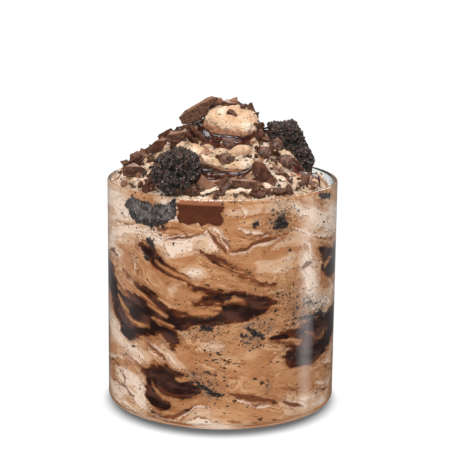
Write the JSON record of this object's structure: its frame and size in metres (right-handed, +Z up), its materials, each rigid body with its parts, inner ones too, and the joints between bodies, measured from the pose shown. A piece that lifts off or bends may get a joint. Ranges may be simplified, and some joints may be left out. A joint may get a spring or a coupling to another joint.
{
  "type": "blended ice cream dessert in a glass",
  "caption": "Blended ice cream swirled with fudge in a straight clear tumbler, heaped above the rim and topped with brownie chunks, broken chocolate and chocolate chips.",
  "frame": {"origin": "centre of the glass's foot, on the surface that it stands on", "axes": "+Z up along the glass's axis, -Y towards the shown side, +X to the right of the shown side"},
  "size_m": [0.086, 0.086, 0.1151],
  "materials": {
    "clear_glass": "clear, thin, polished soda-lime glass",
    "ice_cream": "soft, slightly wet blended ice cream: tan, marbled with pale vanilla and dark fudge, with fine biscuit crumbs",
    "brownie": "rough black-brown crumb with small moist glints",
    "chocolate": "milk-dark broken chocolate, satin on its moulded faces and rough on its breaks",
    "chocolate_chip": "satin chocolate chips, partly coated with cream",
    "fudge_sauce": "wet, glossy, nearly black fudge sauce, amber where it runs thin"
  },
  "bodies": {
    "root": {"glass": "clear_glass", "ice_cream": "ice_cream", "bar_at_wall": "chocolate", "bar_back": "chocolate", "bar_front": "chocolate", "block_left": "chocolate", "block_peak": "chocolate", "brownie_back": "brownie", "brownie_front_left": "brownie", "brownie_right": "brownie", "chip_back_left": "chocolate_chip", "chip_back_middle": "chocolate_chip", "chip_back_outer": "chocolate_chip", "chip_front_middle": "chocolate_chip", "chip_front_upper": "chocolate_chip", "chip_right_lower": "chocolate_chip", "chip_right_middle": "chocolate_chip", "chip_right_rim": "chocolate_chip", "chip_right_upper": "chocolate_chip", "chunk_back": "chocolate", "chunk_back_left": "chocolate", "chunk_front_right": "chocolate", "chunk_left_low": "chocolate", "chunk_left_middle": "chocolate", "chunk_right_top": "chocolate", "cookie_at_wall": "brownie", "plate_back_left": "chocolate", "plate_back_right": "chocolate", "plate_front": "chocolate", "plate_front_right": "chocolate", "plate_peak": "chocolate", "plate_right_top": "chocolate", "shard_peak": "chocolate", "slab_back": "chocolate", "slab_front": "chocolate", "splinter_left": "chocolate", "splinter_lower": "chocolate", "splinter_middle": "chocolate", "splinter_upper": "chocolate"}
  },
  "joints": []
}
